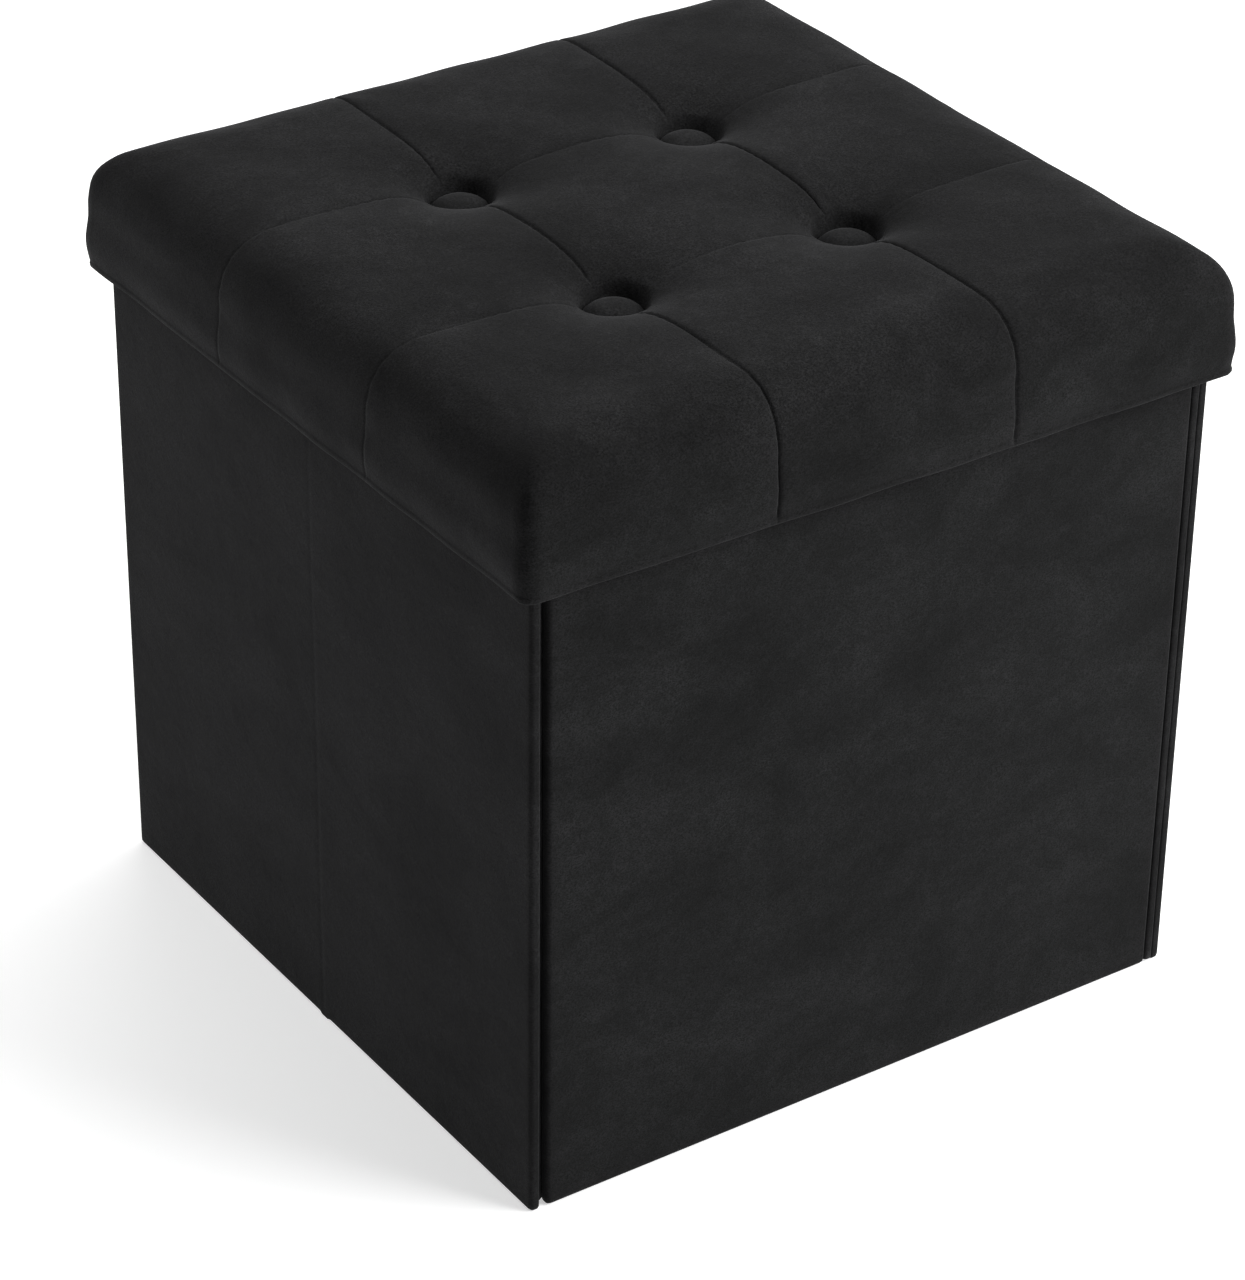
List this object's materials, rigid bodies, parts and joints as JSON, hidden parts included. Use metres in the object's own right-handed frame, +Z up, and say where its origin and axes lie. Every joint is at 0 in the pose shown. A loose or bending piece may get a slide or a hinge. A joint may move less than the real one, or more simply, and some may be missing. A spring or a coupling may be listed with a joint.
{
  "type": "storage ottoman",
  "caption": "Cube storage ottoman in velvet, with a lift-off padded lid tufted with covered buttons, and hinged walls that fold flat once the loose base board is out.",
  "frame": {"origin": "on the floor, under the middle of the closed ottoman", "axes": "+Z up; the one-piece front panel faces -Y; the two side walls that fold face -X and +X"},
  "size_m": [0.376, 0.371, 0.38],
  "materials": {
    "velvet": "matte",
    "lining": "matte",
    "ribbon": "satin",
    "fibreboard": "matte",
    "foam": "matte",
    "twine": "matte",
    "washer": "satin"
  },
  "bodies": {
    "base": {"base_cover": "lining", "base_board": "fibreboard", "pull_ribbon": "ribbon"},
    "back_wall": {"back_cover": "velvet", "back_board": "fibreboard", "back_lining": "lining", "left_rear_hinge_strip": "velvet", "right_rear_hinge_strip": "velvet"},
    "left_rear_wall": {"left_rear_cover": "velvet", "left_rear_board": "fibreboard", "left_rear_lining": "lining", "left_crease_strip": "velvet"},
    "left_front_wall": {"left_front_cover": "velvet", "left_front_board": "fibreboard", "left_front_lining": "lining"},
    "front_wall": {"front_cover": "velvet", "front_board": "fibreboard", "front_lining": "lining", "left_front_hinge_strip": "velvet", "right_front_hinge_strip": "velvet"},
    "right_rear_wall": {"right_rear_cover": "velvet", "right_rear_board": "fibreboard", "right_rear_lining": "lining", "right_crease_strip": "velvet"},
    "right_front_wall": {"right_front_cover": "velvet", "right_front_board": "fibreboard", "right_front_lining": "lining"},
    "lid": {"lid_board": "fibreboard", "lid_skirt_front": "fibreboard", "lid_skirt_back": "fibreboard", "lid_skirt_left": "fibreboard", "lid_skirt_right": "fibreboard", "lid_foam": "foam", "lid_cover": "velvet", "lid_lining": "lining", "button_front_left": "velvet", "button_front_right": "velvet", "button_rear_left": "velvet", "button_rear_right": "velvet", "twine_front_left": "twine", "twine_front_right": "twine", "twine_rear_left": "twine", "twine_rear_right": "twine", "washer_front_left": "washer", "washer_front_right": "washer", "washer_rear_left": "washer", "washer_rear_right": "washer"}
  },
  "joints": [
    {"name": "shell_lift", "type": "slide", "parent": "base", "child": "back_wall", "axis": [0, 0, 1], "range_m": [0, 0.22]},
    {"name": "left_rear_hinge", "type": "hinge", "parent": "back_wall", "child": "left_rear_wall", "pos_m": [-0.1729, 0.172, 0.17], "axis": [0, 0, 1], "range_deg": [0, 88]},
    {"name": "left_crease", "type": "hinge", "parent": "left_rear_wall", "child": "left_front_wall", "pos_m": [-0.1805, 0, 0.17], "axis": [0, 0, -1], "range_deg": [0, 176]},
    {"name": "left_front_hinge", "type": "hinge", "parent": "left_front_wall", "child": "front_wall", "pos_m": [-0.1729, -0.172, 0.17], "axis": [0, 0, 1], "range_deg": [0, 88]},
    {"name": "right_rear_hinge", "type": "hinge", "parent": "back_wall", "child": "right_rear_wall", "pos_m": [0.1729, 0.172, 0.17], "axis": [0, 0, -1], "range_deg": [0, 88]},
    {"name": "right_crease", "type": "hinge", "parent": "right_rear_wall", "child": "right_front_wall", "pos_m": [0.1805, 0, 0.17], "axis": [0, 0, 1], "range_deg": [0, 176]},
    {"name": "lid_lift", "type": "slide", "parent": "back_wall", "child": "lid", "axis": [0, 0, 1], "range_m": [0, 0.3]}
  ],
  "couplings": [
    {"joint": "left_rear_hinge", "follows": "shell_lift", "rad_per_m": 6.9813},
    {"joint": "left_crease", "follows": "shell_lift", "rad_per_m": 13.963},
    {"joint": "left_front_hinge", "follows": "shell_lift", "rad_per_m": 6.9813},
    {"joint": "right_rear_hinge", "follows": "shell_lift", "rad_per_m": 6.9813},
    {"joint": "right_crease", "follows": "shell_lift", "rad_per_m": 13.963}
  ]
}
